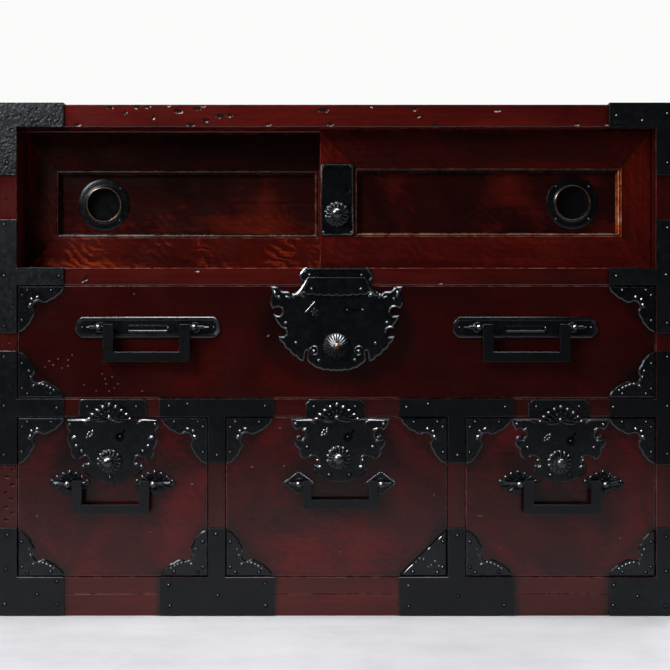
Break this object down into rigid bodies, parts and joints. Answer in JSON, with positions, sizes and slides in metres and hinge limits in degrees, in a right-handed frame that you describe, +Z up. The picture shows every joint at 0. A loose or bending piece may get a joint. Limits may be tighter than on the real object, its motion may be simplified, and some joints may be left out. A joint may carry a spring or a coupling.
{
  "type": "tansu chest",
  "caption": "Low lacquered wooden chest with black iron corner straps, overlapping sliding doors above a wide locked drawer, and a row of smaller locked drawers with drop handles below.",
  "frame": {"origin": "on the floor, in the middle of the overall box", "axes": "+X to the right and +Y to the back, seen from the front; +Z up"},
  "size_m": [0.9046, 0.4496, 0.6723],
  "materials": {
    "lacquered_wood": "worn glossy red-brown lacquer",
    "figured_door_wood": "glossy clear lacquer over figured wood",
    "bare_wood": "planed, unfinished",
    "black_iron": "hammered, blackened and waxed"
  },
  "bodies": {
    "carcass": {"base_frame": "lacquered_wood", "bottom_panel": "lacquered_wood", "left_side_panel": "lacquered_wood", "right_side_panel": "lacquered_wood", "left_divider": "lacquered_wood", "right_divider": "lacquered_wood", "middle_shelf": "lacquered_wood", "door_shelf": "lacquered_wood", "top_panel": "lacquered_wood", "back_panel": "bare_wood", "left_top_corner_iron": "black_iron", "right_top_corner_iron": "black_iron", "left_upper_tee_iron": "black_iron", "right_upper_tee_iron": "black_iron", "left_lower_tee_iron": "black_iron", "right_lower_tee_iron": "black_iron", "left_bottom_corner_iron": "black_iron", "right_bottom_corner_iron": "black_iron", "left_divider_top_iron": "black_iron", "right_divider_top_iron": "black_iron", "left_divider_bottom_iron": "black_iron", "right_divider_bottom_iron": "black_iron"},
    "left_door": {"left_door_frame": "figured_door_wood", "left_door_panel": "figured_door_wood", "left_door_finger_pull": "black_iron"},
    "right_door": {"right_door_frame": "figured_door_wood", "right_door_panel": "figured_door_wood", "right_door_finger_pull": "black_iron", "right_door_lock_plate": "black_iron"},
    "long_drawer": {"long_drawer_front": "lacquered_wood", "long_drawer_tray": "bare_wood", "long_drawer_lock_plate": "black_iron", "long_drawer_left_handle_plate": "black_iron", "long_drawer_right_handle_plate": "black_iron"},
    "left_drawer": {"left_drawer_front": "lacquered_wood", "left_drawer_tray": "bare_wood", "left_drawer_lock_plate": "black_iron", "left_drawer_left_rosette": "black_iron", "left_drawer_right_rosette": "black_iron"},
    "middle_drawer": {"middle_drawer_front": "lacquered_wood", "middle_drawer_tray": "bare_wood", "middle_drawer_lock_plate": "black_iron", "middle_drawer_left_rosette": "black_iron", "middle_drawer_right_rosette": "black_iron"},
    "right_drawer": {"right_drawer_front": "lacquered_wood", "right_drawer_tray": "bare_wood", "right_drawer_lock_plate": "black_iron", "right_drawer_left_rosette": "black_iron", "right_drawer_right_rosette": "black_iron"},
    "long_left_bail": {"long_drawer_left_bail": "black_iron"},
    "long_right_bail": {"long_drawer_right_bail": "black_iron"},
    "left_bail": {"left_drawer_bail": "black_iron"},
    "middle_bail": {"middle_drawer_bail": "black_iron"},
    "right_bail": {"right_drawer_bail": "black_iron"},
    "long_bolt": {"long_drawer_lock_bolt": "black_iron"},
    "left_bolt": {"left_drawer_lock_bolt": "black_iron"},
    "middle_bolt": {"middle_drawer_lock_bolt": "black_iron"},
    "right_bolt": {"right_drawer_lock_bolt": "black_iron"}
  },
  "joints": [
    {"name": "left_door_slide", "type": "slide", "parent": "carcass", "child": "left_door", "axis": [1, 0, 0], "range_m": [0, 0.396]},
    {"name": "right_door_slide", "type": "slide", "parent": "carcass", "child": "right_door", "axis": [1, 0, 0], "range_m": [-0.396, 0]},
    {"name": "long_drawer_slide", "type": "slide", "parent": "carcass", "child": "long_drawer", "axis": [0, -1, 0], "range_m": [0, 0.3]},
    {"name": "left_drawer_slide", "type": "slide", "parent": "carcass", "child": "left_drawer", "axis": [0, -1, 0], "range_m": [0, 0.3]},
    {"name": "middle_drawer_slide", "type": "slide", "parent": "carcass", "child": "middle_drawer", "axis": [0, -1, 0], "range_m": [0, 0.3]},
    {"name": "right_drawer_slide", "type": "slide", "parent": "carcass", "child": "right_drawer", "axis": [0, -1, 0], "range_m": [0, 0.3]},
    {"name": "long_left_bail_hinge", "type": "hinge", "parent": "long_drawer", "child": "long_left_bail", "pos_m": [-0.247, -0.2162, 0.378], "axis": [-1, 0, 0], "range_deg": [0, 95]},
    {"name": "long_right_bail_hinge", "type": "hinge", "parent": "long_drawer", "child": "long_right_bail", "pos_m": [0.247, -0.2162, 0.378], "axis": [-1, 0, 0], "range_deg": [0, 95]},
    {"name": "left_bail_hinge", "type": "hinge", "parent": "left_drawer", "child": "left_bail", "pos_m": [-0.29337, -0.2162, 0.1742], "axis": [-1, 0, 0], "range_deg": [0, 95]},
    {"name": "middle_bail_hinge", "type": "hinge", "parent": "middle_drawer", "child": "middle_bail", "pos_m": [0.0047, -0.2162, 0.1742], "axis": [-1, 0, 0], "range_deg": [0, 95]},
    {"name": "right_bail_hinge", "type": "hinge", "parent": "right_drawer", "child": "right_bail", "pos_m": [0.29337, -0.2162, 0.1742], "axis": [-1, 0, 0], "range_deg": [0, 95]},
    {"name": "long_bolt_slide", "type": "slide", "parent": "long_drawer", "child": "long_bolt", "axis": [0, 0, 1], "range_m": [0, 0.009]},
    {"name": "left_bolt_slide", "type": "slide", "parent": "left_drawer", "child": "left_bolt", "axis": [0, 0, 1], "range_m": [0, 0.009]},
    {"name": "middle_bolt_slide", "type": "slide", "parent": "middle_drawer", "child": "middle_bolt", "axis": [0, 0, 1], "range_m": [0, 0.009]},
    {"name": "right_bolt_slide", "type": "slide", "parent": "right_drawer", "child": "right_bolt", "axis": [0, 0, 1], "range_m": [0, 0.009]}
  ]
}
